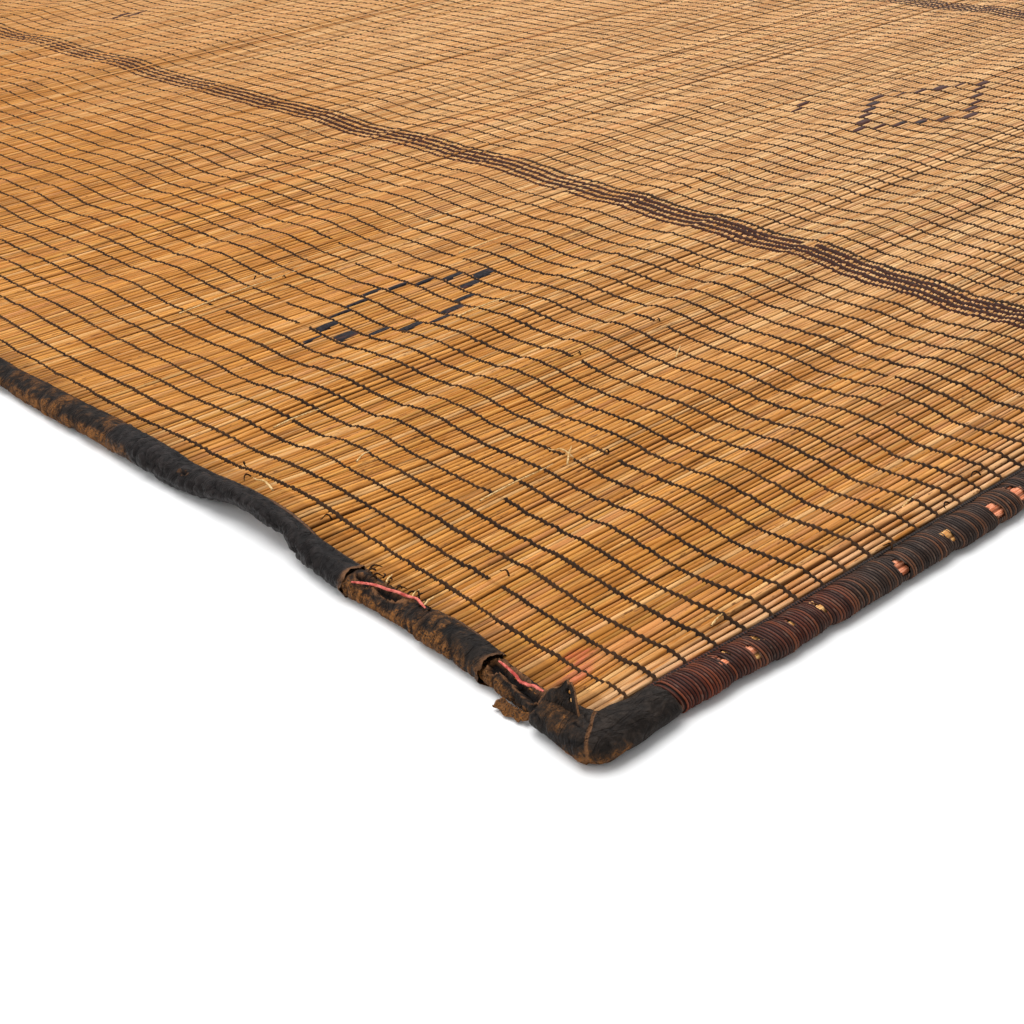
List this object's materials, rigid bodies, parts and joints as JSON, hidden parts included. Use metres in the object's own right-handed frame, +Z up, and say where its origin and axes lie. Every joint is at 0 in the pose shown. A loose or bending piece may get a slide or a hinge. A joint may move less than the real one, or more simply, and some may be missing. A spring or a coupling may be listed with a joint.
{
  "type": "reed and leather floor mat",
  "caption": "Flat rectangular reed mat tied with leather thongs, its reed ends bound in leather sleeves, its end rods wrapped in thong and its corners capped.",
  "frame": {"origin": "centre of the mat on the floor it lies on", "axes": "+X along the reeds, across the mat; +Y along the thongs, the mat's length; +Z up from the floor"},
  "size_m": [1.4336, 1.9452, 0.0222],
  "materials": {
    "reed": "dry split-free reed stalks, golden tan, slightly glossy skin, stained and worn in places",
    "black_leather": "thin black goat leather, wrinkled round the binding, dull sheen",
    "worn_leather": "dark brown leather, scuffed to orange-brown on edges, cracked",
    "suede_leather": "brown leather worn to a matt suede, mottled",
    "wrapped_thong": "fine dark brown and reddish leather thong wound side by side",
    "pink_piping": "pink dyed narrow leather piping, slightly frayed"
  },
  "bodies": {
    "root": {"reed_field": "reed", "sleeve_left_torn": "worn_leather", "sleeve_left_dark": "worn_leather", "sleeve_left_patched": "worn_leather", "sleeve_left_black": "black_leather", "sleeve_left_suede": "suede_leather", "sleeve_left_rear": "black_leather", "sleeve_right_front": "black_leather", "sleeve_right_middle": "suede_leather", "sleeve_right_rear": "black_leather", "rod_near": "wrapped_thong", "rod_far": "wrapped_thong", "cap_near_left": "black_leather", "cap_near_right": "black_leather", "cap_far_left": "black_leather", "cap_far_right": "black_leather", "cap_tongue": "black_leather", "torn_curl": "worn_leather", "piping_corner": "pink_piping", "piping_middle": "pink_piping"}
  },
  "joints": []
}
